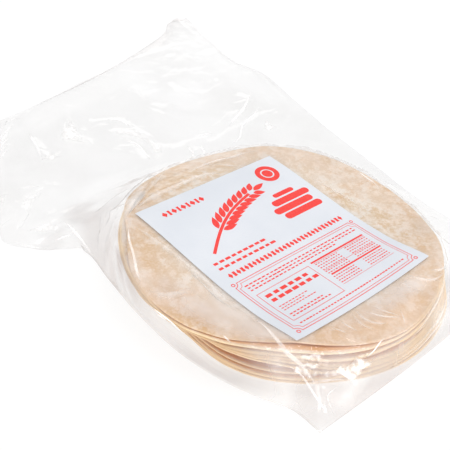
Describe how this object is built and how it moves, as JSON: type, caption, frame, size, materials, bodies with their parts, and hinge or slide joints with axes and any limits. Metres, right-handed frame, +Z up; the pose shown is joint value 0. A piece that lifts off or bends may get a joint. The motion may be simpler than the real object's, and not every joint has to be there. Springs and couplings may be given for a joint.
{
  "type": "bagged flour tortilla stack",
  "caption": "Round stack of flour tortillas in a crumpled clear film bag with a flat empty tail and a paper label on top; lies flat.",
  "frame": {"origin": "on the surface the bag lies on, under the middle of the top of the stack", "axes": "+X runs along the label's lines to the right, +Y runs up the label towards the bag's empty tail, +Z is up"},
  "size_m": [0.337, 0.4479, 0.0378],
  "materials": {
    "film": "thin clear crinkled film, glossy",
    "tortilla": "soft matte flour dough with pale flour bloom and tan patches",
    "label_paper": "smooth cool white paper, slightly glossy",
    "label_ink": "flat red print"
  },
  "bodies": {
    "root": {"bag": "film", "label": "label_paper"}
  },
  "joints": []
}
